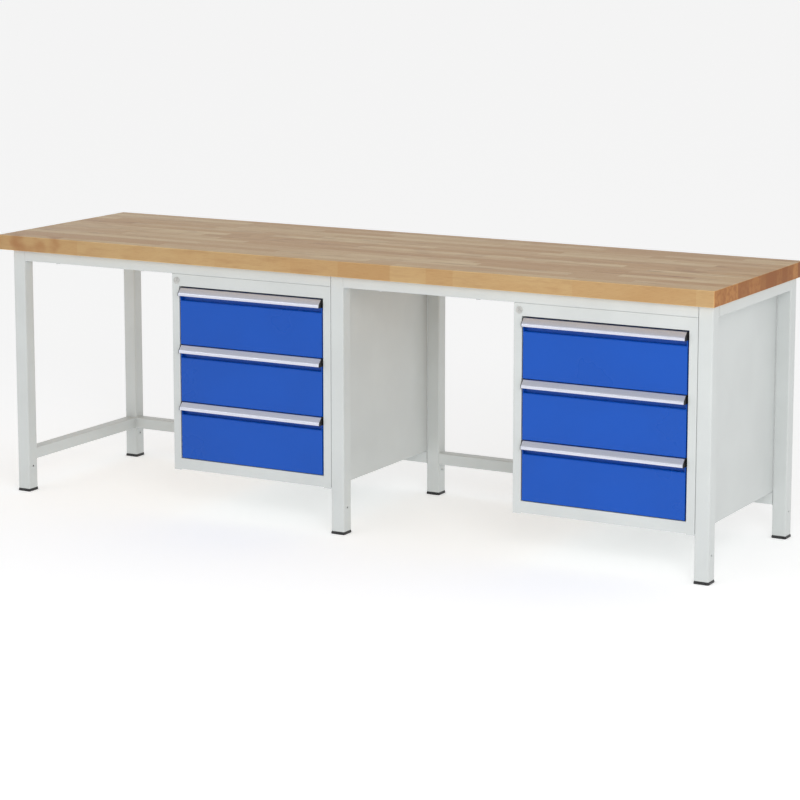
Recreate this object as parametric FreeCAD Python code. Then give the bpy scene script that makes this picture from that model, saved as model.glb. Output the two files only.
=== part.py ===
# Workbench with drawers: a beech worktop on six square steel legs, with two steel cabinets hung
# under it. Each cabinet has three drawers on runners and a cylinder lock that drops a lock bar.
#
# Millimetres. X runs along the worktop to the right, Y goes back from the front edge and Z is up.
# The origin is on the floor, under the middle of the worktop.
import FreeCAD, Part
import math
import os

V = FreeCAD.Vector

# ---- driving dimensions -------------------------------------------------------------------------
TOP_LENGTH = 2500.0
TOP_DEPTH = 700.0
HEIGHT = 850.0
TOP_THICKNESS = 48.0
TOP_EDGE_ROUND = 2.5

LEG = 45.0                  # square tube, outside
LEG_WALL = 2.0
LEG_CORNER = 4.0
LEG_PITCH = 1200.0
LEFT_OVERHANG = 44.0        # worktop past the left legs; past the right legs it is 11
FRONT_SETBACK = 22.0        # front and back, from the worktop's edge to the legs' faces
LEG_HOLE = 7.0
LEG_HOLE_Z = 82.8

FOOT_HEIGHT = 9.0
FOOT_FLARE = 2.0
FOOT_PLUG = 22.0

RAIL_DEPTH = 40.0
TOP_RAIL_HEIGHT = 35.0
STRETCHER_HEIGHT = 37.5
STRETCHER_Z = 103.0
RAIL_WALL = 2.0
RAIL_CORNER = 3.0

CABINET_WIDTH = 578.0
CABINET_DEPTH = 614.0       # its back stands just past the rear legs' front faces
CABINET_BOTTOM = 143.0
CABINET_GAP = 0.4           # between a cabinet's side and the leg beside it
SHEET = 1.5
FRAME_SHEET = 2.0
STILE = 26.5
STILE_DROP = 3.0            # the stiles reach this much lower than the bottom member
TOP_MEMBER = 38.0
BOTTOM_MEMBER = 35.0
FRAME_RETURN = 18.0         # folded lip round the opening, front to back
FRAME_ROUND = 1.5           # of its folded front edges

DRAWERS = ("bottom", "centre", "top")
DRAWER_GAP = 2.0            # under each drawer front
TOP_GAP = 4.5               # over the highest one
DRAWER_SIDE_GAP = 4.5
DRAWER_TRAVEL = 430.0
FRONT_RETURN = 18.0
RECESS_DEPTH = 14.0         # finger recess along the top of each drawer front
RECESS_HEIGHT = 39.5
LEDGE_BEND = 3.0            # inside bend where the recess's ledge turns down into the face

HANDLE_REACH = 16.0         # in front of the drawer front
HANDLE_DROP = 23.5
HANDLE_WALL = 2.0
HANDLE_CAP = 2.0
CAP_DROP = HANDLE_DROP + 1.0

BOX_HALF_WIDTH = 246.0
BOX_LENGTH = 540.0
BOX_HEIGHT = 128.0
BOX_LIFT = 15.0             # box floor above the bottom edge of the drawer front

RUNNER_THICKNESS = 12.7
RUNNER_HEIGHT = 45.0
RUNNER_SHEET = 1.5
RUNNER_LIFT = 22.0          # bottom of the runner above the bottom edge of the drawer front
RUNNER_FRONT = 40.0         # from the cabinet's front face
RUNNER_MEMBER = 31.0        # height of the drawer's half of the runner

LOCK_INSET = 18.0           # lock axis from the cabinet's left side
LOCK_DROP = 20.5            # and down from the cabinet's top
PLUG_RADIUS = 6.0
LOCK_CLEARANCE = 0.3
BARREL_RADIUS = 8.0
COLLAR_RADIUS = 10.5
CAM_REACH = 8.0             # cam pin from the lock's axis
CAM_PIN = 1.5
BAR_THICKNESS = 2.5
BAR_WIDTH = 14.0
BAR_FRONT = 27.5            # front face of the lock bar behind the cabinet's front
LUG_LIFT = 112.0            # bottom of a lug above its drawer front's bottom edge, unlocked
LUG_HEIGHT = 8.0
CATCH_HEIGHT = 20.0

SCREW_SHANK = 2.9
SCREW_BITE = 28.0           # into the worktop
SCREW_HEAD = 6.5
SCREW_HEAD_HEIGHT = 4.0
SCREW_SOCKET = 3.0
PILOT = 3.0
HANGER_SHEET = 3.0
HANGER_WIDTH = 40.0
HANGER_FLANGE = 30.0
HANGER_INSET = 90.0         # from the cabinet's sides
HANGER_FORWARD = 85.0       # from the cabinet's back

# ---- places worked out from them ----------------------------------------------------------------
LEFT = -TOP_LENGTH / 2
FRONT = -TOP_DEPTH / 2
TOP_UNDERSIDE = HEIGHT - TOP_THICKNESS
RAIL_UNDERSIDE = TOP_UNDERSIDE - TOP_RAIL_HEIGHT
LEG_COLUMNS = {
    "left": LEFT + LEFT_OVERHANG,
    "middle": LEFT + LEFT_OVERHANG + LEG_PITCH,
    "right": LEFT + LEFT_OVERHANG + 2 * LEG_PITCH,
}
LEG_ROWS = {"front": FRONT + FRONT_SETBACK, "rear": -FRONT - FRONT_SETBACK - LEG}
FACE = LEG_ROWS["front"]    # the plane of the legs', cabinets' and drawers' front faces
CABINET_BACK = FACE + CABINET_DEPTH
CABINET_TOP = RAIL_UNDERSIDE
CABINETS = {}
for side in ("middle", "right"):
    CABINETS[side] = LEG_COLUMNS[side] - CABINET_GAP - CABINET_WIDTH
OPENING_BOTTOM = CABINET_BOTTOM + BOTTOM_MEMBER
OPENING_TOP = CABINET_TOP - TOP_MEMBER
OPENING_WIDTH = CABINET_WIDTH - 2 * STILE
FRONT_WIDTH = OPENING_WIDTH - 2 * DRAWER_SIDE_GAP
FRONT_HEIGHT = (OPENING_TOP - TOP_GAP - OPENING_BOTTOM) / len(DRAWERS) - DRAWER_GAP
RUNNER_OUTSIDE = BOX_HALF_WIDTH + RUNNER_THICKNESS


# ---- shapes -------------------------------------------------------------------------------------
def block(x, y, z):
    """Box between pairs of limits."""
    return Part.makeBox(x[1] - x[0], y[1] - y[0], z[1] - z[0], V(x[0], y[0], z[0]))


def place(axis, u, v, w):
    """Point (u, v) of a flat outline at distance w along the axis that crosses it."""
    return {"x": V(w, u, v), "y": V(u, w, v), "z": V(u, v, w)}[axis]


def outline(axis, points, w):
    """Closed wire through (u, v) or (u, v, corner radius) points, square to an axis."""
    corners = []
    for i, point in enumerate(points):
        here = place(axis, point[0], point[1], w)
        radius = point[2] if len(point) > 2 else 0.0
        if radius == 0.0:
            corners.append((here, None, here))
            continue
        before = points[i - 1]
        after = points[(i + 1) % len(points)]
        to_before = (place(axis, before[0], before[1], w) - here).normalize()
        to_after = (place(axis, after[0], after[1], w) - here).normalize()
        half = to_before.getAngle(to_after) / 2
        bisector = (to_before + to_after).normalize()
        middle = here + bisector * (radius / math.sin(half) - radius)
        reach = radius / math.tan(half)
        corners.append((here + to_before * reach, middle, here + to_after * reach))
    edges = []
    for i, (start, middle, end) in enumerate(corners):
        if middle is not None:
            edges.append(Part.Arc(start, middle, end).toShape())
        following = corners[(i + 1) % len(corners)][0]
        if (following - end).Length > 1e-6:
            edges.append(Part.LineSegment(end, following).toShape())
    return Part.Wire(edges)


def prism(axis, points, start, end):
    """Flat outline drawn out along an axis."""
    face = Part.Face(outline(axis, points, start))
    return face.extrude(place(axis, 0, 0, end) - place(axis, 0, 0, start))


def rectangle(u, v, radius=0.0):
    """Corner points of a rectangle, rounded alike."""
    return [(u[0], v[0], radius), (u[1], v[0], radius), (u[1], v[1], radius), (u[0], v[1], radius)]


def tube(axis, u, v, start, end, wall, radius):
    """Rectangular tube along an axis."""
    outside = prism(axis, rectangle(u, v, radius), start, end)
    inner_u = (u[0] + wall, u[1] - wall)
    inner_v = (v[0] + wall, v[1] - wall)
    return outside.cut(prism(axis, rectangle(inner_u, inner_v, radius - wall), start, end))


def folded(axis, path, thickness, start, end):
    """Folded sheet: its thickness lies to the left of a path of (u, v, inside bend radius)."""
    turns = []
    for i in range(len(path) - 1):
        du = path[i + 1][0] - path[i][0]
        dv = path[i + 1][1] - path[i][1]
        length = math.hypot(du, dv)
        turns.append((du / length, dv / length))
    near = []
    far = []
    for i, (u, v, bend) in enumerate(path):
        arriving = turns[max(i - 1, 0)]
        leaving = turns[min(i, len(turns) - 1)]
        across = 1 + arriving[0] * leaving[0] + arriving[1] * leaving[1]
        shift_u = -(arriving[1] + leaving[1]) * thickness / across
        shift_v = (arriving[0] + leaving[0]) * thickness / across
        left_turn = arriving[0] * leaving[1] - arriving[1] * leaving[0] > 0
        ends = i in (0, len(path) - 1)
        outer = 0.0 if ends else bend + thickness
        inner = 0.0 if ends else bend
        near.append((u, v, outer if left_turn else inner))
        far.append((u + shift_u, v + shift_v, inner if left_turn else outer))
    return prism(axis, near + far[::-1], start, end)


def rod(centre, direction, radius, length):
    """Cylinder from a centre along a direction."""
    return Part.makeCylinder(radius, length, centre, direction)


def joined(shapes):
    """One solid from shapes that touch or overlap."""
    return shapes[0].fuse(shapes[1:]).removeSplitter()


BACKWARDS = V(0, 1, 0)
UPWARDS = V(0, 0, 1)
RIGHTWARDS = V(1, 0, 0)


# ---- worktop and frame --------------------------------------------------------------------------
def screw_places():
    """Where a screw goes up into the worktop, with the level of its head's seat."""
    places = []
    front_y = FACE + RAIL_DEPTH / 2
    rear_y = -FRONT - FRONT_SETBACK - RAIL_DEPTH / 2
    for bay in ("left", "middle"):
        start = LEG_COLUMNS[bay] + LEG
        for offset in (120.0, 450.0):
            places.append((start + offset, front_y, RAIL_UNDERSIDE))
        for offset in (120.0, 577.5, 1035.0):
            places.append((start + offset, rear_y, RAIL_UNDERSIDE))
    for column in LEG_COLUMNS.values():
        for y in (-170.0, 170.0):
            places.append((column + LEG - RAIL_DEPTH / 2, y, RAIL_UNDERSIDE))
    for x, y in hanger_places():
        places.append((x, y, TOP_UNDERSIDE - HANGER_SHEET))
    return places


def hanger_places():
    """Middles of the cabinet hangers' upper flanges."""
    places = []
    for left in CABINETS.values():
        for offset in (HANGER_INSET, CABINET_WIDTH - HANGER_INSET):
            places.append((left + offset, CABINET_BACK - HANGER_FORWARD))
    return places


def make_worktop():
    top = block((LEFT, -LEFT), (FRONT, -FRONT), (TOP_UNDERSIDE, HEIGHT))
    top = top.makeFillet(TOP_EDGE_ROUND, top.Edges)
    for x, y, _ in screw_places():
        pilot = rod(V(x, y, TOP_UNDERSIDE - 1), UPWARDS, PILOT, SCREW_BITE + 2)
        top = top.cut(pilot)
    return top


def make_leg(column, row):
    x = LEG_COLUMNS[column]
    y = LEG_ROWS[row]
    leg = tube("z", (x, x + LEG), (y, y + LEG), FOOT_HEIGHT, TOP_UNDERSIDE, LEG_WALL, LEG_CORNER)
    hole = rod(V(x + LEG / 2, y + LEG / 2, LEG_HOLE_Z), RIGHTWARDS, LEG_HOLE / 2, LEG)
    return leg.cut(hole)


def make_foot_cap(column, row):
    """Flared plastic cap, with a plug up inside the leg."""
    x = LEG_COLUMNS[column]
    y = LEG_ROWS[row]
    rings = []
    for z, spread in ((0.0, FOOT_FLARE - 1.2), (1.5, FOOT_FLARE), (FOOT_HEIGHT, 0.3)):
        limits_x = (x - spread, x + LEG + spread)
        limits_y = (y - spread, y + LEG + spread)
        rings.append(outline("z", rectangle(limits_x, limits_y, LEG_CORNER + spread), z))
    cap = Part.makeLoft(rings, True, True)
    plug_x = (x + LEG_WALL, x + LEG - LEG_WALL)
    plug_y = (y + LEG_WALL, y + LEG - LEG_WALL)
    plug = prism("z", rectangle(plug_x, plug_y, LEG_CORNER - LEG_WALL), FOOT_HEIGHT, FOOT_PLUG)
    return joined([cap, plug])


def drilled_for_screws(rail):
    """Clearance holes up through a rail, where the worktop's screws pass it."""
    limits = rail.BoundBox
    for x, y, _ in screw_places():
        if limits.XMin < x < limits.XMax and limits.YMin < y < limits.YMax:
            rail = rail.cut(rod(V(x, y, limits.ZMin - 1), UPWARDS, PILOT, TOP_RAIL_HEIGHT + 2))
    return rail


def make_long_rail(bay, y, z, height):
    """Tube along X across one bay, from leg to leg."""
    start = LEG_COLUMNS[bay] + LEG
    end = start + LEG_PITCH - LEG
    return tube("x", (y, y + RAIL_DEPTH), (z, z + height), start, end, RAIL_WALL, RAIL_CORNER)


def make_side_rail(x, z, height):
    """Tube along Y, from a front leg to the rear leg behind it."""
    start = LEG_ROWS["front"] + LEG
    end = LEG_ROWS["rear"]
    return tube("y", (x, x + RAIL_DEPTH), (z, z + height), start, end, RAIL_WALL, RAIL_CORNER)


def make_worktop_screw(x, y, seat):
    head = rod(V(x, y, seat - SCREW_HEAD_HEIGHT), UPWARDS, SCREW_HEAD, SCREW_HEAD_HEIGHT)
    shank = rod(V(x, y, seat), UPWARDS, SCREW_SHANK, TOP_UNDERSIDE + SCREW_BITE - seat)
    bottom = seat - SCREW_HEAD_HEIGHT
    socket = prism("z", hexagon(x, y, SCREW_SOCKET), bottom, bottom + SCREW_HEAD_HEIGHT / 2)
    return joined([head, shank]).cut(socket)


def hexagon(x, y, radius):
    points = []
    for i in range(6):
        angle = math.radians(60 * i)
        points.append((x + radius * math.cos(angle), y + radius * math.sin(angle)))
    return points


def make_cabinet_hanger(x, y):
    """Z bracket between a cabinet's roof and the worktop's underside."""
    web = y + HANGER_FLANGE / 2
    path = [
        (web + HANGER_FLANGE, CABINET_TOP + HANGER_SHEET, 0),
        (web, CABINET_TOP + HANGER_SHEET, 2),
        (web, TOP_UNDERSIDE, 2),
        (web - HANGER_FLANGE, TOP_UNDERSIDE, 0),
    ]
    half = HANGER_WIDTH / 2
    bracket = folded("x", path, HANGER_SHEET, x - half, x + half)
    return bracket.cut(rod(V(x, y, TOP_UNDERSIDE - 10), UPWARDS, PILOT, 20))


# ---- cabinets -----------------------------------------------------------------------------------
def drawer_bottom(level):
    """Bottom edge of the drawer front at a level."""
    return OPENING_BOTTOM + DRAWER_GAP + DRAWERS.index(level) * (FRONT_HEIGHT + DRAWER_GAP)


def make_shell(left):
    """Sides, roof and floor in one folded sheet, open at the front and the back."""
    x = (left, left + CABINET_WIDTH)
    z = (CABINET_BOTTOM, CABINET_TOP)
    return tube("y", x, z, FACE + FRAME_SHEET, CABINET_BACK - SHEET, SHEET, SHEET + 0.5)


def make_back(left):
    """Back panel, with a rim folded forwards inside the shell."""
    x = (left, left + CABINET_WIDTH)
    z = (CABINET_BOTTOM, CABINET_TOP)
    panel = prism("y", rectangle(x, z, SHEET), CABINET_BACK - SHEET, CABINET_BACK)
    rim_x = (x[0] + SHEET, x[1] - SHEET)
    rim_z = (z[0] + SHEET, z[1] - SHEET)
    rim = tube("y", rim_x, rim_z, CABINET_BACK - SHEET - 12, CABINET_BACK - SHEET, SHEET, 2.0)
    return joined([panel, rim])


def make_front_frame(left):
    """Welded front: stiles, members, the lip round the opening and two guides for the bar."""
    right = left + CABINET_WIDTH
    face = (FACE, FACE + FRAME_SHEET)
    x = (left + STILE, right - STILE)
    z = (OPENING_BOTTOM, OPENING_TOP)
    pieces = [
        block((left, x[0]), face, (CABINET_BOTTOM - STILE_DROP, CABINET_TOP)),
        block((x[1], right), face, (CABINET_BOTTOM - STILE_DROP, CABINET_TOP)),
        block(x, face, (CABINET_BOTTOM, z[0])),
        block(x, face, (z[1], CABINET_TOP)),
    ]
    lip_outside = [(x[0] - FRAME_SHEET, x[1] + FRAME_SHEET), (z[0] - FRAME_SHEET, z[1] + FRAME_SHEET)]
    lip = prism("y", rectangle(*lip_outside), FACE, FACE + FRAME_RETURN)
    pieces.append(lip.cut(prism("y", rectangle(x, z), FACE, FACE + FRAME_RETURN)))
    for z_guide in (OPENING_BOTTOM + 30.0, drawer_bottom("top") + FRONT_HEIGHT - 34.0):
        pieces.append(make_bar_guide(left, z_guide))
    frame = rounded_front(joined(pieces), (left, right), x, z)
    lock_x, lock_z = lock_axis(left)
    hole = rod(V(lock_x, FACE - 1, lock_z), BACKWARDS, BARREL_RADIUS, FRAME_SHEET + 2)
    return frame.cut(hole)


def rounded_front(frame, outside, x, z):
    """Rounds the front edges of the opening and the two outer upright edges."""
    folds = []
    for edge in frame.Edges:
        box = edge.BoundBox
        if box.YMax > FACE + 0.01:
            continue
        upright = box.XLength < 0.01 and any(abs(box.XMin - e) < 0.01 for e in outside + x)
        level = box.ZLength < 0.01 and any(abs(box.ZMin - e) < 0.01 for e in z)
        if upright or level:
            folds.append(edge)
    return frame.makeFillet(FRAME_ROUND, folds)


def make_bar_guide(left, z):
    """Loop welded behind the left stile, which the lock bar runs through."""
    centre = bar_centre(left)
    play = 0.5
    half = BAR_WIDTH / 2 + play
    back = BAR_FRONT + BAR_THICKNESS + 1.0
    path = [
        (centre - half, FACE + FRAME_SHEET, 0),
        (centre - half, FACE + back, 0.5),
        (centre + half, FACE + back, 0.5),
        (centre + half, FACE + FRAME_SHEET, 0),
    ]
    return folded("z", path, SHEET, z, z + 12.0)


def make_runner_rails(left):
    """Cabinet half of each runner: a channel on two folded stand-off brackets."""
    rails = []
    middle = left + CABINET_WIDTH / 2
    start = FACE + RUNNER_FRONT
    for level in DRAWERS:
        low = drawer_bottom(level) + RUNNER_LIFT
        high = low + RUNNER_HEIGHT
        for hand in (-1, 1):
            web = middle + hand * RUNNER_OUTSIDE
            wall = middle + hand * (CABINET_WIDTH / 2 - SHEET)
            channel = folded("y", channel_path(web, low, high, hand, 8.0), RUNNER_SHEET,
                             start, start + BOX_LENGTH)
            pieces = [channel]
            for y in (start + 40.0, start + BOX_LENGTH - 100.0):
                limits = sorted((web - hand * 0.2, wall))
                stand_off = tube("y", limits, (low + 8.0, high - 8.0), y, y + 50.0, SHEET, SHEET + 0.2)
                pieces.append(stand_off)
            rails.append(joined(pieces))
    return Part.makeCompound(rails)


def channel_path(web, low, high, hand, lip):
    """Section of a runner channel with its web at x and its lips towards the drawer."""
    path = [
        (web - hand * lip, low, 0),
        (web, low, 1.0),
        (web, high, 1.0),
        (web - hand * lip, high, 0),
    ]
    return path if hand > 0 else path[::-1]


# ---- locks --------------------------------------------------------------------------------------
def lock_axis(left):
    return left + LOCK_INSET, CABINET_TOP - LOCK_DROP


def bar_centre(left):
    """Middle of the lock bar, beside the lock's axis so that the cam pin can lift it."""
    return left + LOCK_INSET - CAM_REACH * math.cos(math.radians(45)) - 1.1


def make_lock_housing(left):
    x, z = lock_axis(left)
    collar = rod(V(x, FACE - 1.5, z), BACKWARDS, COLLAR_RADIUS, 1.5)
    barrel = rod(V(x, FACE, z), BACKWARDS, BARREL_RADIUS, 20.0)
    nut = prism("y", hexagon(x, z, 9.5), FACE + FRAME_SHEET, FACE + FRAME_SHEET + 3.0)
    bore = rod(V(x, FACE - 5, z), BACKWARDS, PLUG_RADIUS + LOCK_CLEARANCE, 40.0)
    return joined([collar, barrel, nut]).cut(bore)


def make_lock_cylinder(left):
    """Plug with a key slot in front and the cam and its pin behind."""
    x, z = lock_axis(left)
    plug = rod(V(x, FACE - 2.0, z), BACKWARDS, PLUG_RADIUS, 24.5)
    cam_front = FACE + 22.5
    diagonal = CAM_REACH * math.cos(math.radians(45))
    pin_x = x - diagonal
    pin_z = z + diagonal
    cam = joined([
        rod(V(x, cam_front, z), BACKWARDS, 5.0, 2.5),
        rod(V(pin_x, cam_front, pin_z), BACKWARDS, 3.0, 2.5),
        prism("y", [(x - 3.5, z - 3.5), (x + 3.5, z + 3.5), (pin_x + 2.1, pin_z + 2.1),
                    (pin_x - 2.1, pin_z - 2.1)], cam_front, cam_front + 2.5),
    ])
    pin = rod(V(pin_x, cam_front, pin_z), BACKWARDS, CAM_PIN, 2.5 + 2.5 + BAR_THICKNESS)
    slot = block((x - 0.6, x + 0.6), (FACE - 3.0, FACE + 4.0), (z - 3.6, z + 3.6))
    return joined([plug, cam, pin]).cut(slot)


def make_lock_bar(left):
    """Flat bar with a lug for each drawer and a slot for the cam pin, drawn unlocked (up)."""
    centre = bar_centre(left)
    lock_x, lock_z = lock_axis(left)
    diagonal = CAM_REACH * math.cos(math.radians(45))
    front = FACE + BAR_FRONT
    bar_x = (centre - BAR_WIDTH / 2, centre + BAR_WIDTH / 2)
    bar_z = (OPENING_BOTTOM + 18.0, lock_z + diagonal + 6.0)
    pieces = [prism("y", rectangle(bar_x, bar_z, 1.5), front, front + BAR_THICKNESS)]
    lug_end = left + CABINET_WIDTH / 2 - BOX_HALF_WIDTH - 4.0
    for level in DRAWERS:
        low = drawer_bottom(level) + LUG_LIFT
        lug = rectangle((bar_x[1] - 3.0, lug_end), (low, low + LUG_HEIGHT), 1.0)
        pieces.append(prism("y", lug, front, front + BAR_THICKNESS))
    slot_u = (lock_x - CAM_REACH - CAM_PIN - 0.6, lock_x - diagonal + CAM_PIN + 0.6)
    slot_v = (lock_z + diagonal - CAM_PIN - 0.6, lock_z + diagonal + CAM_PIN + 0.6)
    slot = prism("y", rectangle(slot_u, slot_v, CAM_PIN), front - 1, front + BAR_THICKNESS + 1)
    return joined(pieces).cut(slot)


# ---- drawers ------------------------------------------------------------------------------------
def handle_path(top):
    """Outer line of the grip: up the recess, forwards over its top and down to the lip."""
    lip = FACE - HANDLE_REACH
    recess = FACE + RECESS_DEPTH
    return [
        (recess, top - 16.0, 0),
        (recess, top, 0.5),
        (FACE - 1.0, top, 1.5),
        (lip, top - 16.0, 9.0),
        (lip, top - HANDLE_DROP, 0),
    ]


def make_drawer_front(middle, low):
    """Folded front: a flat face, a finger recess along its top, and end plates up to the caps."""
    top = low + FRONT_HEIGHT
    back = FACE + FRONT_RETURN
    ledge = top - RECESS_HEIGHT
    recess = FACE + RECESS_DEPTH
    path = [
        (back, top, 0),
        (recess, top, 0.5),
        (recess, ledge, 0.8),
        (FACE, ledge, LEDGE_BEND),
        (FACE, low, 0.8),
        (back, low, 0),
    ]
    half = FRONT_WIDTH / 2
    pieces = [folded("x", path, SHEET, middle - half, middle + half)]
    shoulder = ledge - LEDGE_BEND - SHEET
    end_plate = [
        (back, top - SHEET),
        (recess, top - SHEET),
        (recess, top - CAP_DROP),
        (FACE, top - CAP_DROP),
        (FACE, shoulder),
        (FACE + SHEET, shoulder),
        (FACE + SHEET, low + SHEET),
        (back, low + SHEET),
    ]
    for start in (middle - half, middle + half - SHEET):
        pieces.append(prism("x", end_plate, start, start + SHEET))
    return joined(pieces)


def make_handle(middle, low):
    half = FRONT_WIDTH / 2 - HANDLE_CAP
    return folded("x", handle_path(low + FRONT_HEIGHT), HANDLE_WALL, middle - half, middle + half)


def make_handle_caps(middle, low):
    """Plate over each end of the grip, filling the space behind it."""
    top = low + FRONT_HEIGHT
    path = handle_path(top)
    lip = FACE - HANDLE_REACH
    recess = FACE + RECESS_DEPTH
    plate = [
        (recess, top),
        (path[2][0], top, 3.5),
        (lip, path[3][1], 11.0),
        (lip, top - CAP_DROP, 1.0),
        (recess, top - CAP_DROP),
    ]
    caps = []
    half = FRONT_WIDTH / 2
    for start in (middle - half, middle + half - HANDLE_CAP):
        caps.append(prism("x", plate, start, start + HANDLE_CAP))
    return Part.makeCompound(caps)


def make_drawer_box(middle, low):
    """Open steel box with folded rims, and the catch beside it that the lock bar's lug stops."""
    front = FACE + FRONT_RETURN
    back = front + BOX_LENGTH
    x = (middle - BOX_HALF_WIDTH, middle + BOX_HALF_WIDTH)
    floor = low + BOX_LIFT
    rim = floor + BOX_HEIGHT
    path = [
        (x[0] + 9.0, rim, 0),
        (x[0], rim, 0.5),
        (x[0], floor, 0.5),
        (x[1], floor, 0.5),
        (x[1], rim, 0.5),
        (x[1] - 9.0, rim, 0),
    ]
    pieces = [folded("y", path, SHEET, front, back)]
    inner_x = (x[0] + SHEET, x[1] - SHEET)
    for y in (front, back - SHEET):
        pieces.append(block(inner_x, (y, y + SHEET), (floor + SHEET, rim - SHEET)))
    catch_y = FACE + BAR_FRONT + BAR_THICKNESS + 2.0
    catch_z = low + LUG_LIFT - 2.0 - CATCH_HEIGHT
    catch = [
        (x[0], catch_y, 0),
        (x[0] - 8.5, catch_y, 0.5),
        (x[0] - 8.5, catch_y + 10.0, 0),
    ]
    angle = folded("z", catch[::-1], 2.0, catch_z, catch_z + CATCH_HEIGHT)
    return Part.makeCompound([joined(pieces), angle])


def make_drawer_runners(middle, low):
    """Drawer half of each runner: a channel on the side of the box."""
    start = FACE + RUNNER_FRONT
    centre = low + RUNNER_LIFT + RUNNER_HEIGHT / 2
    limits = (centre - RUNNER_MEMBER / 2, centre + RUNNER_MEMBER / 2)
    members = []
    for hand in (-1, 1):
        web = middle + hand * BOX_HALF_WIDTH
        path = channel_path(web, limits[0], limits[1], -hand, 8.0)
        members.append(folded("y", path, RUNNER_SHEET, start, start + BOX_LENGTH))
    return Part.makeCompound(members)


# ---- the whole bench ----------------------------------------------------------------------------
def frame_parts():
    parts = {"worktop": make_worktop()}
    caps = []
    for row in LEG_ROWS:
        for column in LEG_COLUMNS:
            parts["leg_%s_%s" % (row, column)] = make_leg(column, row)
            caps.append(make_foot_cap(column, row))
    parts["foot_caps"] = Part.makeCompound(caps)
    rear_rails = []
    stretchers = []
    rear_y = -FRONT - FRONT_SETBACK - RAIL_DEPTH
    for bay, name in (("left", "left"), ("middle", "right")):
        rail = make_long_rail(bay, FACE, RAIL_UNDERSIDE, TOP_RAIL_HEIGHT)
        parts["front_top_rail_" + name] = drilled_for_screws(rail)
        rail = make_long_rail(bay, rear_y, RAIL_UNDERSIDE, TOP_RAIL_HEIGHT)
        rear_rails.append(drilled_for_screws(rail))
        stretchers.append(make_long_rail(bay, LEG_ROWS["rear"], STRETCHER_Z, STRETCHER_HEIGHT))
    parts["rear_top_rails"] = Part.makeCompound(rear_rails)
    parts["rear_stretchers"] = Part.makeCompound(stretchers)
    side_rails = []
    for x in LEG_COLUMNS.values():
        rail = make_side_rail(x + LEG - RAIL_DEPTH, RAIL_UNDERSIDE, TOP_RAIL_HEIGHT)
        side_rails.append(drilled_for_screws(rail))
    parts["side_top_rails"] = Part.makeCompound(side_rails)
    left_x = LEG_COLUMNS["left"] + (LEG - RAIL_DEPTH) / 2
    parts["side_stretcher_left"] = make_side_rail(left_x, STRETCHER_Z, STRETCHER_HEIGHT)
    parts["worktop_screws"] = Part.makeCompound([make_worktop_screw(*p) for p in screw_places()])
    hangers = [make_cabinet_hanger(x, y) for x, y in hanger_places()]
    parts["cabinet_hangers"] = Part.makeCompound(hangers)
    return parts


def cabinet_parts(side, left):
    parts = {
        "cabinet_shell": make_shell(left),
        "cabinet_front_frame": make_front_frame(left),
        "cabinet_back": make_back(left),
        "cabinet_runner_rails": make_runner_rails(left),
        "lock_housing": make_lock_housing(left),
        "lock_cylinder": make_lock_cylinder(left),
        "lock_bar": make_lock_bar(left),
    }
    middle = left + CABINET_WIDTH / 2
    for level in DRAWERS:
        low = drawer_bottom(level)
        drawer = level + "_drawer_"
        parts[drawer + "front"] = make_drawer_front(middle, low)
        parts[drawer + "handle"] = make_handle(middle, low)
        parts[drawer + "handle_caps"] = make_handle_caps(middle, low)
        parts[drawer + "box"] = make_drawer_box(middle, low)
        parts[drawer + "runners"] = make_drawer_runners(middle, low)
    return {side + "_" + name: shape for name, shape in parts.items()}


def make_bench():
    parts = frame_parts()
    for side, left in CABINETS.items():
        parts.update(cabinet_parts(side, left))
    return parts


os.makedirs("parts", exist_ok=True)
for node, shape in make_bench().items():
    shape.exportStep("parts/" + node + ".step")
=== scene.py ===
import math
import random

import bmesh
import bpy
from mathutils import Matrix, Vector


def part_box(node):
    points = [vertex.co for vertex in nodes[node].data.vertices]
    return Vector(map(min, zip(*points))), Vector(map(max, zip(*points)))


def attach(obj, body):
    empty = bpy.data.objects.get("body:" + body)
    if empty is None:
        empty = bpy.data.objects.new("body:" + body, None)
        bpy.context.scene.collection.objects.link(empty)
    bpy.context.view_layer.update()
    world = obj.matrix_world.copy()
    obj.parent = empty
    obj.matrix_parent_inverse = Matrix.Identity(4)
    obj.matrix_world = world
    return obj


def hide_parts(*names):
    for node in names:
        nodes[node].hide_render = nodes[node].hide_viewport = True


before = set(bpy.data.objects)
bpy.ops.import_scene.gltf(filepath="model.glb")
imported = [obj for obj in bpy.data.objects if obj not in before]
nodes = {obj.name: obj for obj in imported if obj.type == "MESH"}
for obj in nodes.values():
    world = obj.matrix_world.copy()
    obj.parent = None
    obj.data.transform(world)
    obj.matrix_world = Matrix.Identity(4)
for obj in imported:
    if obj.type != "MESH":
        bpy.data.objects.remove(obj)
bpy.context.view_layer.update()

# ---- driving values -----------------------------------------------------------------------------
CAMERA_PLACE = (3.9214, -6.9117, 1.9226)
CAMERA_YAW = math.radians(29.24)        # turned to the left from looking along +Y
CAMERA_PITCH = math.radians(8.87)       # looking down
CAMERA_LENS = 115.15                    # mm, for a sensor 36 mm wide
CAMERA_SHIFT = -0.125                   # sets the object higher in the picture

SKY_LOW = 0.92                          # radiance at the horizon
SKY_HIGH = 0.50                         # and overhead
FLOOR_GLOW = 0.31                       # the floor shines a little, so shadows stay faint
FLOOR_HALF = 120.0                      # from its middle to an edge, which is near the horizon
KEY_PLACE = (3.1, -3.7, 2.0)            # main lamp, at the front right
KEY_TARGET = (0.6, -0.2, 0.5)
KEY_SIZE = (2.2, 1.8)
KEY_POWER = 62.0
STRIP_PLACE = (-1.9, -3.3, 2.4)         # long narrow lamp, at the front left
STRIP_TARGET = (0.0, -0.3, 0.6)
STRIP_SIZE = (3.4, 0.3)
STRIP_POWER = 9.0

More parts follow.
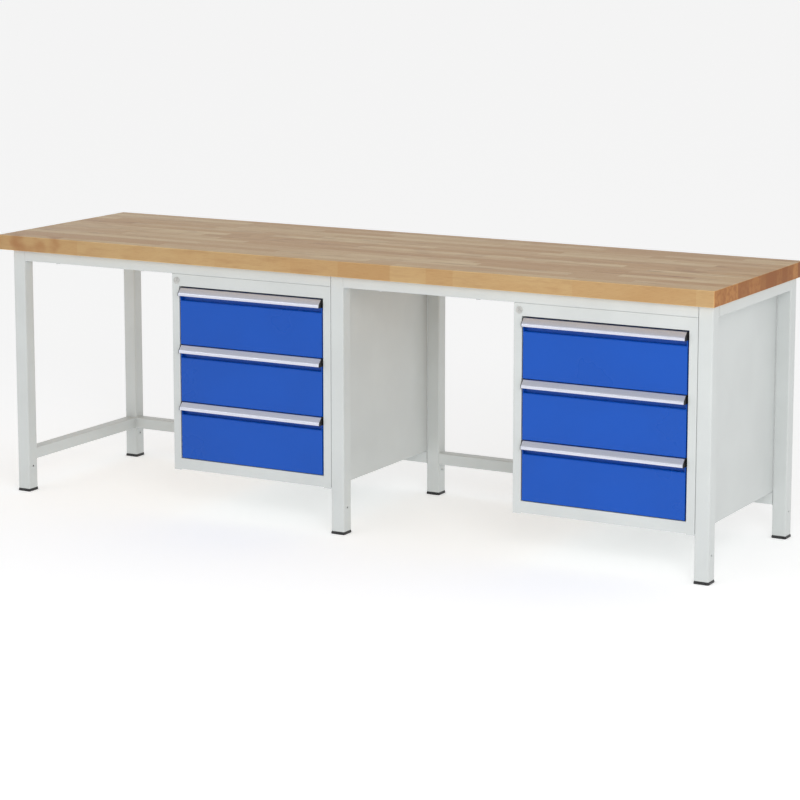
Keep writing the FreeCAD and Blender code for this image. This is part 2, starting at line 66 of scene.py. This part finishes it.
TOP_ROUND = 0.0025                      # the worktop's rounded edges
TOP_ROUND_STEPS = 3
STAVE_ROWS = 16
STAVE_SEED = 11
# The front row, which shows along the worktop's edge: joints from the left end, and from pale 0 to brown 1.
FRONT_JOINTS = (0.317, 0.840, 1.115, 1.283, 1.463, 1.585, 1.675, 2.063, 2.445)
FRONT_TONES = (0.45, 0.2, 0.3, 0.45, 0.65, 0.25, 0.5, 0.25, 0.45, 0.2)
# The other rows, at random.
STAVE_LENGTHS = (0.20, 0.62)            # shortest and longest, but for a row's two ends
FIRST_JOINT = 0.08                      # nearest that a first joint comes to the left end
LAST_JOINT = 0.06                       # and a last one to the right end
HEART_ALONG = 8.0                       # most that a stave's figure is shifted along X
HEART_ACROSS = 0.12                     # and the heart of its rings across Y
HEART_DEEP = 0.09                       # and along Z
STREAKED_SHARE = 0.25                   # of the staves behind the front row, with strong streaks
STRONG_STREAK = (0.5, 0.9)
WEAK_STREAK = (0.0, 0.3)
FRONT_MOTTLE = 0.75                     # clouded brown figure of the front left stave
FAINT_MOTTLE = 0.22                     # and of a few others
MOTTLED_SHARE = 0.08                    # of the staves behind the front row
END_SHADES = (0.0, 0.3, 0.7, 1.0)       # pale to dark end grain

RING_PITCH = 0.0034                     # from one growth ring to the next
RING_WANDER = 0.022                     # how uneven the rings are
GLUE_FADE = 0.0006                      # a joint's dark line ends this far from the joint
GLUE_CORE = 0.0001                      # and is full this near to it

BEAD_RADIUS = 0.0021
BEAD_RIPPLE = 0.0005                    # height of a ripple
BEAD_WANDER = 0.00008                   # uneven radius from ring to ring of points
BEAD_PITCH = 0.0036                     # from one ripple to the next
BEAD_STEP = 0.0009                      # from one ring of points to the next
BEAD_SIDES = 10
BEAD_END = 0.45                         # radius at a run's two ends, as a share
BEAD_CORNER = 0.003                     # the rails' corner radius
BEAD_CORNER_STEPS = 4
BEAD_INSET = 0.003                      # from a flush face, and from the worktop
BEAD_SEED = 5

LIGHT_GREY = (0.602, 0.628, 0.620)
BOX_GREY = (0.560, 0.580, 0.565)
BLUE = (0.001, 0.076, 0.445)


# ---- writing materials --------------------------------------------------------------------------
class Net:
    """The nodes of one material, written as nested calls."""

    def __init__(self, name):
        self.material = bpy.data.materials.new(name)
        self.material.use_nodes = True
        self.tree = self.material.node_tree
        self.shader = self.tree.nodes["Principled BSDF"]

    def add(self, kind, inputs, **settings):
        made = self.tree.nodes.new("ShaderNode" + kind)
        for key, value in settings.items():
            setattr(made, key, value)
        for key, value in inputs.items():
            self.feed(made.inputs[key], value)
        return made

    def feed(self, socket, value):
        if isinstance(value, bpy.types.NodeSocket):
            self.tree.links.new(value, socket)
        else:
            socket.default_value = value

    def set(self, **values):
        """Sets the shader's sockets, named with _ for a space."""
        for name, value in values.items():
            self.feed(self.shader.inputs[name.replace("_", " ")], value)

    def place(self):
        return self.add("TexCoord", {}).outputs["Object"]

    def attribute(self, name):
        return self.add("Attribute", {}, attribute_name=name)

    def split(self, vector):
        return self.add("SeparateXYZ", {0: vector}).outputs

    def join(self, x, y, z):
        return self.add("CombineXYZ", {0: x, 1: y, 2: z}).outputs[0]

    def math(self, operation, a, b=0.0, c=0.0):
        return self.add("Math", {0: a, 1: b, 2: c}, operation=operation).outputs[0]

    def vector(self, operation, a, b):
        return self.add("VectorMath", {0: a, 1: b}, operation=operation).outputs[0]

    def noise(self, at, scale, detail=2.0, roughness=0.5, distortion=0.0):
        settings = {"Vector": at, "Scale": scale, "Detail": detail, "Roughness": roughness,
                    "Distortion": distortion}
        return self.add("TexNoise", settings).outputs["Fac"]

    def cells(self, at, scale, output="Distance"):
        return self.add("TexVoronoi", {"Vector": at, "Scale": scale}).outputs[output]

    def span(self, value, low, high, to_low=0.0, to_high=1.0):
        """Value between low and high, moved smoothly between two others."""
        inputs = {0: value, 1: low, 2: high, 3: to_low, 4: to_high}
        return self.add("MapRange", inputs, interpolation_type="SMOOTHSTEP").outputs[0]

    def mix(self, factor, a, b, blend="MIX"):
        made = self.add("Mix", {0: factor, 6: a, 7: b}, data_type="RGBA", blend_type=blend)
        return made.outputs[2]

    def bump(self, height, distance, strength=1.0, normal=None):
        inputs = {"Height": height, "Distance": distance, "Strength": strength}
        if normal is not None:
            inputs["Normal"] = normal
        return self.add("Bump", inputs).outputs[0]


def rgba(colour, factor=1.0):
    return (colour[0] * factor, colour[1] * factor, colour[2] * factor, 1.0)


def edge_mask(net, radius):
    """One along sharp edges, zero on the flat."""
    rounded = net.add("Bevel", {"Radius": radius}, samples=4).outputs[0]
    flat = net.add("NewGeometry", {}).outputs["Normal"]
    facing = net.add("VectorMath", {0: rounded, 1: flat}, operation="DOT_PRODUCT")
    return net.span(facing.outputs["Value"], 0.995, 0.85)


# ---- materials ----------------------------------------------------------------------------------
def powder_coat(name, colour, roughness, specular):
    """Baked powder paint: orange peel, a faint mottle, and paler paint along edges, partly thinner paint
    and partly a painted highlight.
    """
    net = Net(name)
    at = net.place()
    mottle = net.noise(at, 5.0, 3.0)
    grain = net.noise(at, 420.0, 2.0)
    peel = net.noise(at, 260.0, 2.0, 0.45)
    tone = net.mix(net.span(mottle, 0.3, 0.7), rgba(colour, 0.965), rgba(colour, 1.025))
    tone = net.mix(net.span(grain, 0.55, 0.8, 0.0, 0.25), tone, rgba(colour, 0.90))
    # Paler colour along sharp edges: partly thinner paint, partly a painted highlight.
    edge = [min(1.0, channel * 1.10 + 0.015) for channel in colour]
    tone = net.mix(net.math("MULTIPLY", edge_mask(net, 0.0012), 0.6), tone, rgba(edge))
    gloss = net.span(mottle, 0.25, 0.75, roughness - 0.035, roughness + 0.035)
    net.set(Base_Color=tone, Roughness=gloss, Normal=net.bump(peel, 0.00012, 0.55),
            Specular_IOR_Level=specular)
    return net.material


def anodised(name):
    """Drawn aluminium with fine lines along X and a satin anodised skin."""
    net = Net(name)
    place = net.split(net.place())
    along = net.join(net.math("MULTIPLY", place[0], 6.0), place[1], place[2])
    lines = net.noise(along, 1400.0, 3.0, 0.6)
    wide = net.noise(along, 180.0, 2.0)
    tone = net.mix(net.span(wide, 0.3, 0.7), (0.71, 0.74, 0.85, 1), (0.78, 0.80, 0.90, 1))
    tone = net.mix(net.span(lines, 0.5, 0.8, 0.0, 0.35), tone, (0.62, 0.63, 0.74, 1))
    net.set(Base_Color=tone, Roughness=net.span(lines, 0.3, 0.7, 0.28, 0.40),
            Normal=net.bump(lines, 0.00005, 0.5), Metallic=1.0)
    return net.material


def zinc(name):
    """Bright zinc on steel: a soft spangle and rolling lines along Y."""
    net = Net(name)
    at = net.place()
    place = net.split(at)
    along = net.join(place[0], net.math("MULTIPLY", place[1], 0.04), place[2])
    rolled = net.noise(along, 900.0, 2.0)
    spangle = net.cells(at, 160.0, "Color")
    shade = net.split(spangle)[0]
    tone = net.mix(net.span(shade, 0.0, 1.0), (0.56, 0.57, 0.57, 1), (0.66, 0.67, 0.68, 1))
    tone = net.mix(net.span(rolled, 0.5, 0.8, 0.0, 0.4), tone, (0.46, 0.46, 0.45, 1))
    net.set(Base_Color=tone, Roughness=net.span(rolled, 0.3, 0.7, 0.28, 0.45),
            Normal=net.bump(rolled, 0.00004, 0.4), Metallic=1.0)
    return net.material


def nickel(name):
    """Plated lock parts, turned, with a little tarnish."""
    net = Net(name)
    at = net.place()
    turned = net.noise(at, 1500.0, 2.0)
    tarnish = net.noise(at, 120.0, 3.0)
    tone = net.mix(net.span(tarnish, 0.35, 0.7), (0.62, 0.62, 0.60, 1), (0.48, 0.48, 0.46, 1))
    net.set(Base_Color=tone, Roughness=net.span(turned, 0.3, 0.7, 0.20, 0.32),
            Normal=net.bump(turned, 0.00003, 0.3), Metallic=1.0)
    return net.material


def moulded(name):
    """Black moulded plastic with a fine leathery grain and dull scuffs."""
    net = Net(name)
    at = net.place()
    grain = net.cells(at, 1300.0)
    scuff = net.noise(at, 60.0, 4.0, 0.65)
    tone = net.mix(net.span(scuff, 0.45, 0.75), (0.010, 0.010, 0.011, 1), (0.030, 0.030, 0.032, 1))
    net.set(Base_Color=tone, Roughness=net.span(scuff, 0.3, 0.75, 0.38, 0.6),
            Normal=net.bump(grain, 0.00012, 0.5))
    return net.material


def stave_rings(net, y, z, heart, seeded):
    """Late wood of the growth rings about a stave's own heart, from 0 to 1."""
    bend = net.noise(seeded, 5.0, 2.0)
    across_y = net.math("SUBTRACT", y, heart[1])
    across_z = net.math("SUBTRACT", z, heart[2])
    radius = net.math("SQRT", net.math("ADD", net.math("POWER", across_y, 2.0),
                                       net.math("POWER", across_z, 2.0)))
    wander = net.math("MULTIPLY", net.math("SUBTRACT", bend, 0.5), RING_WANDER)
    ring = net.math("FRACT", net.math("MULTIPLY", net.math("ADD", radius, wander), 1 / RING_PITCH))
    late = net.span(ring, 0.35, 0.95)
    return net.math("MULTIPLY", late, net.span(ring, 1.0, 0.95))


def long_grain(net, look, late, fibre, stretch, seeded):
    """Colour along the grain: streaks, rings, clouds, fibres and ray flecks."""
    brown, streaked, mottle = look
    streak = net.noise(stretch(0.12), 60.0, 3.0, 0.55)
    fleck = net.span(net.noise(stretch(0.16), 1500.0, 1.0), 0.66, 0.72)
    cloud = net.noise(seeded, 9.0, 3.0, 0.6)
    blotch = net.noise(stretch(1.0), 13.0, 1.5, 0.5)

    pale = (0.880, 0.645, 0.310, 1)
    mid = (0.640, 0.350, 0.120, 1)
    deep = (0.360, 0.150, 0.045, 1)
    russet = (0.460, 0.180, 0.048, 1)
    tone = net.mix(brown, pale, mid)
    tone = net.mix(net.span(cloud, 0.35, 0.75, 0.0, 0.35), tone, mid)
    tone = net.mix(net.math("MULTIPLY", streaked, net.span(streak, 0.45, 0.75)), tone, deep)
    tone = net.mix(net.math("MULTIPLY", late, 0.20), tone, deep)
    tone = net.mix(net.math("MULTIPLY", mottle, net.span(blotch, 0.40, 0.64)), tone, russet)
    tone = net.mix(net.span(fibre, 0.45, 0.75, 0.0, 0.25), tone, deep)
    return net.mix(net.math("MULTIPLY", fleck, 0.35), tone, deep)


def end_grain(net, at, shade, late):
    """Darker colour of the cut ends, with rings and pores."""
    pores = net.cells(at, 2200.0)
    blotch = net.noise(at, 48.0, 2.0, 0.55)
    tone = net.mix(shade, (0.700, 0.320, 0.095, 1), (0.400, 0.145, 0.038, 1))
    tone = net.mix(net.span(blotch, 0.42, 0.64, 0.0, 0.55), tone, (0.400, 0.125, 0.028, 1))
    tone = net.mix(net.math("MULTIPLY", late, 0.30), tone, (0.17, 0.055, 0.016, 1))
    return net.mix(net.span(pores, 0.25, 0.1, 0.0, 0.35), tone, (0.13, 0.045, 0.015, 1))


def glue_line(net):
    """One along the joints between staves, zero away from them."""
    edges = net.attribute("stave_edges")
    reach = net.split(edges.outputs["Vector"])
    nearest = net.math("MINIMUM", net.math("MINIMUM", reach[0], reach[1]),
                       net.math("MINIMUM", reach[2], edges.outputs["Alpha"]))
    return net.span(nearest, GLUE_FADE, GLUE_CORE)


def beech(name):
    """Steamed beech: rings about each stave's own heart, ray flecks, end grain at the ends, and painted
    shade and sheen on faces turned up.
    """
    net = Net(name)
    at = net.place()
    heart = net.split(net.attribute("stave_heart").outputs["Vector"])
    looks = net.attribute("stave_look")
    brown, streaked, end_shade = net.split(looks.outputs["Vector"])[0:3]
    x, y, z = net.split(at)[0:3]
    x = net.math("ADD", x, heart[0])

    def stretch(factor):
        return net.join(net.math("MULTIPLY", x, factor), y, z)

    seeded = net.vector("ADD", stretch(0.6), net.join(0.0, heart[0], heart[0]))
    late = stave_rings(net, y, z, heart, seeded)
    fibre = net.noise(stretch(0.05), 700.0, 3.0, 0.6)
    look = (brown, streaked, looks.outputs["Alpha"])
    tone = long_grain(net, look, late, fibre, stretch, seeded)

    facing = net.split(net.add("TexCoord", {}).outputs["Normal"])
    end_on = net.span(net.math("ABSOLUTE", facing[0]), 0.55, 0.9)
    tone = net.mix(end_on, tone, end_grain(net, at, end_shade, late))

    # Faces turned up get painted shade and a painted sheen: a darker, greyer colour on the worktop's top.
    up = net.span(facing[2], 0.6, 0.95)
    top_painted_shade_and_sheen = net.mix(1.0, tone, (0.83, 0.86, 1.0, 1), "MULTIPLY")
    top_painted_shade_and_sheen = net.mix(0.12, top_painted_shade_and_sheen, (0.36, 0.29, 0.22, 1))
    tone = net.mix(up, tone, top_painted_shade_and_sheen)

    joint = glue_line(net)
    tone = net.mix(net.math("MULTIPLY", joint, 0.45), tone, (0.16, 0.075, 0.035, 1))

    relief = net.math("ADD", net.math("MULTIPLY", fibre, 0.6), net.math("MULTIPLY", late, 0.3))
    relief = net.math("SUBTRACT", relief, net.math("MULTIPLY", joint, 1.5))
    gloss = net.math("ADD", net.span(fibre, 0.3, 0.7, 0.38, 0.52), net.math("MULTIPLY", end_on, 0.25))
    net.set(Base_Color=tone, Roughness=gloss, Normal=net.bump(relief, 0.00010, 0.5),
            Specular_IOR_Level=0.32)
    return net.material


MATERIALS = {
    "frame_grey": powder_coat("frame_grey", LIGHT_GREY, 0.36, 0.4),
    "drawer_box_grey": powder_coat("drawer_box_grey", BOX_GREY, 0.45, 0.4),
    "drawer_blue": powder_coat("drawer_blue", BLUE, 0.30, 0.30),
    "handle_aluminium": anodised("handle_aluminium"),
    "zinc_steel": zinc("zinc_steel"),
    "lock_nickel": nickel("lock_nickel"),
    "black_plastic": moulded("black_plastic"),
    "beech_worktop": beech("beech_worktop"),
}


def finish_cad_nodes():
    """Gives each carried-over node the detailed material of its slot."""
    for node in nodes.values():
        for place in node.material_slots:
            slot = place.material.name.split(".")[0]
            place.material = MATERIALS[slot]


# ---- worktop ------------------------------------------------------------------------------------
def stave_plan(low, high):
    """For each row from the front, the joints along X and the looks of its staves."""
    dice = random.Random(STAVE_SEED)
    plan = []
    for row in range(STAVE_ROWS):
        if row == 0:
            joints = [low.x + joint for joint in FRONT_JOINTS]
            tones = list(FRONT_TONES)
        else:
            joints = []
            x = low.x + dice.uniform(FIRST_JOINT, STAVE_LENGTHS[1])
            while x < high.x - LAST_JOINT:
                joints.append(x)
                x += dice.uniform(*STAVE_LENGTHS)
            tones = [dice.uniform(0.0, 1.0) for _ in range(len(joints) + 1)]
        ends = [low.x] + joints + [high.x]
        staves = []
        for i, tone in enumerate(tones):
            heart = [dice.uniform(-reach, reach) for reach in (HEART_ALONG, HEART_ACROSS, HEART_DEEP)]
            streaked = row and dice.random() < STREAKED_SHARE
            streak = dice.uniform(*(STRONG_STREAK if streaked else WEAK_STREAK))
            if (row, i) == (0, 0):
                mottle = FRONT_MOTTLE
            else:
                mottle = FAINT_MOTTLE if row and dice.random() < MOTTLED_SHARE else 0.0
            look = (tone, streak, dice.choice(END_SHADES), mottle)
            staves.append({"x": (ends[i], ends[i + 1]), "heart": heart, "look": look})
        plan.append(staves)
    return plan


def cut_slab(low, high, row_of, plan):
    """Closed slab with rounded edges, cut along every glue joint."""
    size = high - low
    slab = bmesh.new()
    bmesh.ops.create_cube(slab, size=1.0)
    for vertex in slab.verts:
        vertex.co = low + Vector([(c + 0.5) * s for c, s in zip(vertex.co, size)])
    bmesh.ops.bevel(slab, geom=slab.edges[:], offset=TOP_ROUND, segments=TOP_ROUND_STEPS,
                    profile=0.5, affect="EDGES")
    for row in range(1, STAVE_ROWS):
        everything = slab.verts[:] + slab.edges[:] + slab.faces[:]
        bmesh.ops.bisect_plane(slab, geom=everything, dist=1e-6, plane_no=(0, 1, 0),
                               plane_co=(0, low.y + row * size.y / STAVE_ROWS, 0))
    for row, staves in enumerate(plan):
        for stave in staves[1:]:
            faces = [f for f in slab.faces if row_of(f) == row]
            edges = {e for f in faces for e in f.edges}
            verts = {v for f in faces for v in f.verts}
            bmesh.ops.bisect_plane(slab, geom=list(verts) + list(edges) + faces, dist=1e-6,
                                   plane_co=(stave["x"][0], 0, 0), plane_no=(1, 0, 0))
    slab.normal_update()
    return slab


def make_worktop():
    """One closed skin with each stave's data on its faces, for the beech material."""
    low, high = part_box("worktop")
    depth = (high.y - low.y) / STAVE_ROWS

    def row_of(face):
        middle = face.calc_center_median().y
        return min(STAVE_ROWS - 1, max(0, int((middle - low.y) / depth)))

    plan = stave_plan(low, high)
    slab = cut_slab(low, high, row_of, plan)
    owners = []
    for face in slab.faces:
        row = row_of(face)
        middle = face.calc_center_median().x
        owners.append((row, next(s for s in plan[row] if middle <= s["x"][1])))
        face.smooth = True
    mesh = bpy.data.meshes.new("worktop_staves")
    slab.to_mesh(mesh)
    slab.free()

    hearts = mesh.attributes.new("stave_heart", "FLOAT_VECTOR", "FACE")
    looks = mesh.attributes.new("stave_look", "FLOAT_COLOR", "FACE")
    reaches = mesh.attributes.new("stave_edges", "FLOAT_COLOR", "CORNER")
    for polygon, (row, stave) in zip(mesh.polygons, owners):
        row_low = low.y + row * depth
        shift, heart_y, heart_z = stave["heart"]
        hearts.data[polygon.index].vector = (shift, row_low + heart_y, low.z + heart_z)
        looks.data[polygon.index].color = stave["look"]
        for corner in polygon.loop_indices:
            point = mesh.vertices[mesh.loops[corner].vertex_index].co
            reaches.data[corner].color = (point.x - stave["x"][0], stave["x"][1] - point.x,
                                          point.y - row_low, row_low + depth - point.y)
    top = add_object("worktop_staves", mesh, MATERIALS["beech_worktop"])
    sharpen(top, 60.0)
    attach(top, "bench")
    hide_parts("worktop")


def add_object(name, mesh, material):
    """Object of a mesh with one material."""
    mesh.materials.append(material)
    thing = bpy.data.objects.new(name, mesh)
    bpy.context.scene.collection.objects.link(thing)
    return thing


def sharpen(thing, degrees):
    """Marks the edges that turn by at least an angle as sharp."""
    solid = bmesh.new()
    solid.from_mesh(thing.data)
    for edge in solid.edges:
        edge.smooth = edge.calc_face_angle(0.0) < math.radians(degrees)
    solid.to_mesh(thing.data)
    solid.free()


# ---- weld beads ---------------------------------------------------------------------------------
def rounded_path(corners):
    """Evenly spaced points along a line of square corners, with the corners rounded."""
    dense = [corners[0]]
    for before, corner, after in zip(corners, corners[1:], corners[2:]):
        start = corner + (before - corner).normalized() * BEAD_CORNER
        end = corner + (after - corner).normalized() * BEAD_CORNER
        centre = start + end - corner
        for i in range(BEAD_CORNER_STEPS + 1):
            angle = math.pi / 2 * i / BEAD_CORNER_STEPS
            dense.append(centre + (start - centre) * math.cos(angle) + (end - centre) * math.sin(angle))
    dense.append(corners[-1])
    length = sum((b - a).length for a, b in zip(dense, dense[1:]))
    step = length / max(2, round(length / BEAD_STEP))
    points = []
    walked = 0.0
    for a, b in zip(dense, dense[1:]):
        span = (b - a).length
        while span and len(points) * step <= walked + span + 1e-9:
            points.append(a.lerp(b, (len(points) * step - walked) / span))
        walked += span
    return points


def add_bead(solid, corners, axis, dice):
    """Rippled run of weld along a line on a leg's face, whose normal is the axis."""
    points = rounded_path(corners)
    rings = []
    for i, point in enumerate(points):
        along = (points[min(i + 1, len(points) - 1)] - points[max(i - 1, 0)]).normalized()
        across = axis.cross(along)
        from_end = min(i, len(points) - 1 - i) * BEAD_STEP
        taper = min(1.0, BEAD_END + from_end / BEAD_RADIUS)
        ripple = abs(math.sin(math.pi * i * BEAD_STEP / BEAD_PITCH)) * BEAD_RIPPLE
        radius = (BEAD_RADIUS + ripple + dice.uniform(-1, 1) * BEAD_WANDER) * taper
        ring = []
        for turn in range(BEAD_SIDES):
            angle = 2 * math.pi * turn / BEAD_SIDES
            offset = axis * math.cos(angle) + across * math.sin(angle)
            ring.append(solid.verts.new(point + offset * radius))
        rings.append(ring)
    for ring, following in zip(rings, rings[1:]):
        for i in range(BEAD_SIDES):
            j = (i + 1) % BEAD_SIDES
            solid.faces.new((ring[i], ring[j], following[j], following[i]))
    solid.faces.new(rings[0][::-1])
    solid.faces.new(rings[-1])


def under_and_beside(flush, free, low, high):
    """Line under a top rail and up its free side; the flush side is ground smooth."""
    start = flush + math.copysign(BEAD_INSET, free - flush)
    return [(start, low), (free, low), (free, high - BEAD_INSET)]


def past_flush_side(flush, free, low, high):
    """Line round a stretcher, all but along its flush side."""
    start = flush + math.copysign(BEAD_INSET, free - flush)
    return [(start, low), (free, low), (free, high), (start, high)]


def all_round(start, end, low, high):
    """Closed line round a stretcher, from the middle of its top."""
    middle = (start + end) / 2
    return [(middle, high), (end, high), (end, low), (start, low), (start, high), (middle, high)]


def bead_lines():
    """Each bead's corner points and the normal of the leg face that it lies on."""
    lines = []

    def add(outline, along, at, facing):
        normal = Vector((0, 0, 0))
        normal[along] = facing
        corners = [Vector((at, u, v) if along == 0 else (u, at, v)) for u, v in outline]
        lines.append((corners, normal))

    def leg(row, column):
        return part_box("leg_%s_%s" % (row, column))

    for rail, column in (("front_top_rail_left", "left"), ("front_top_rail_right", "middle")):
        low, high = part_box(rail)
        add(under_and_beside(low.y, high.y, low.z, high.z), 0, leg("front", column)[1].x, 1)
    for rail, shape in (("rear_top_rails", under_and_beside), ("rear_stretchers", past_flush_side)):
        low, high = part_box(rail)
        flush, free = (high.y, low.y) if shape is under_and_beside else (low.y, high.y)
        for start, end in (("left", "middle"), ("middle", "right")):
            add(shape(flush, free, low.z, high.z), 0, leg("rear", start)[1].x, 1)
            add(shape(flush, free, low.z, high.z), 0, leg("rear", end)[0].x, -1)
    front_low, front_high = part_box("front_top_rail_left")
    rail_depth = front_high.y - front_low.y
    low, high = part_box("side_top_rails")
    for column in ("left", "middle", "right"):
        flush = leg("front", column)[1].x
        free = flush - rail_depth
        add(under_and_beside(flush, free, low.z, high.z), 1, leg("front", column)[1].y, 1)
        add(under_and_beside(flush, free, low.z, high.z), 1, leg("rear", column)[0].y, -1)
    low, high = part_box("side_stretcher_left")
    add(all_round(low.x, high.x, low.z, high.z), 1, low.y, 1)
    add(all_round(low.x, high.x, low.z, high.z), 1, high.y, -1)
    return lines


def make_weld_beads():
    """All the beads as one piece, in the frame's paint."""
    dice = random.Random(BEAD_SEED)
    solid = bmesh.new()
    for corners, normal in bead_lines():
        add_bead(solid, corners, normal, dice)
    bmesh.ops.recalc_face_normals(solid, faces=solid.faces[:])
    for face in solid.faces:
        face.smooth = len(face.verts) == 4
    mesh = bpy.data.meshes.new("weld_beads")
    solid.to_mesh(mesh)
    solid.free()
    beads = add_object("weld_beads", mesh, MATERIALS["frame_grey"])
    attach(beads, "bench")


# ---- studio -------------------------------------------------------------------------------------
def make_floor():
    """Wide, plain, pale floor."""
    net = Net("floor")
    net.set(Base_Color=(0.93, 0.93, 0.93, 1), Roughness=0.95, Specular_IOR_Level=0.0)
    net.set(Emission_Color=(1, 1, 1, 1), Emission_Strength=FLOOR_GLOW)
    mesh = bpy.data.meshes.new("floor")
    half = FLOOR_HALF
    mesh.from_pydata([(-half, -half, 0), (half, -half, 0), (half, half, 0), (-half, half, 0)], [],
                     [(0, 1, 2, 3)])
    add_object("floor", mesh, net.material)


def make_sky():
    """Pale surround, darker overhead."""
    world = bpy.data.worlds.new("surround")
    bpy.context.scene.world = world
    world.use_nodes = True
    tree = world.node_tree
    background = tree.nodes["Background"]
    background.inputs["Color"].default_value = (1.0, 1.0, 1.0, 1.0)
    place = tree.nodes.new("ShaderNodeTexCoord")
    split = tree.nodes.new("ShaderNodeSeparateXYZ")
    ramp = tree.nodes.new("ShaderNodeMapRange")
    tree.links.new(place.outputs["Generated"], split.inputs[0])
    tree.links.new(split.outputs[2], ramp.inputs[0])
    ramp.inputs[3].default_value = SKY_LOW
    ramp.inputs[4].default_value = SKY_HIGH
    tree.links.new(ramp.outputs[0], background.inputs["Strength"])


def make_panel(name, place, target, size, power):
    """Large soft lamp."""
    lamp = bpy.data.lights.new(name, "AREA")
    lamp.shape = "RECTANGLE"
    lamp.size, lamp.size_y = size
    lamp.energy = power
    thing = bpy.data.objects.new(name, lamp)
    thing.location = place
    thing.rotation_euler = (Vector(target) - Vector(place)).to_track_quat("-Z", "Y").to_euler()
    bpy.context.scene.collection.objects.link(thing)


def make_camera():
    """The one camera, far off, with a long lens."""
    camera = bpy.data.cameras.new("camera")
    camera.lens = CAMERA_LENS
    camera.shift_y = CAMERA_SHIFT
    camera.clip_end = 2 * FLOOR_HALF
    thing = bpy.data.objects.new("camera", camera)
    thing.location = CAMERA_PLACE
    thing.rotation_euler = (math.pi / 2 - CAMERA_PITCH, 0.0, CAMERA_YAW)
    bpy.context.scene.collection.objects.link(thing)
    bpy.context.scene.camera = thing


# ---- the whole scene ----------------------------------------------------------------------------
make_camera()
make_sky()
make_floor()
make_panel("key", KEY_PLACE, KEY_TARGET, KEY_SIZE, KEY_POWER)
make_panel("strip", STRIP_PLACE, STRIP_TARGET, STRIP_SIZE, STRIP_POWER)
bpy.context.scene.view_settings.view_transform = "Standard"
finish_cad_nodes()
make_worktop()
make_weld_beads()
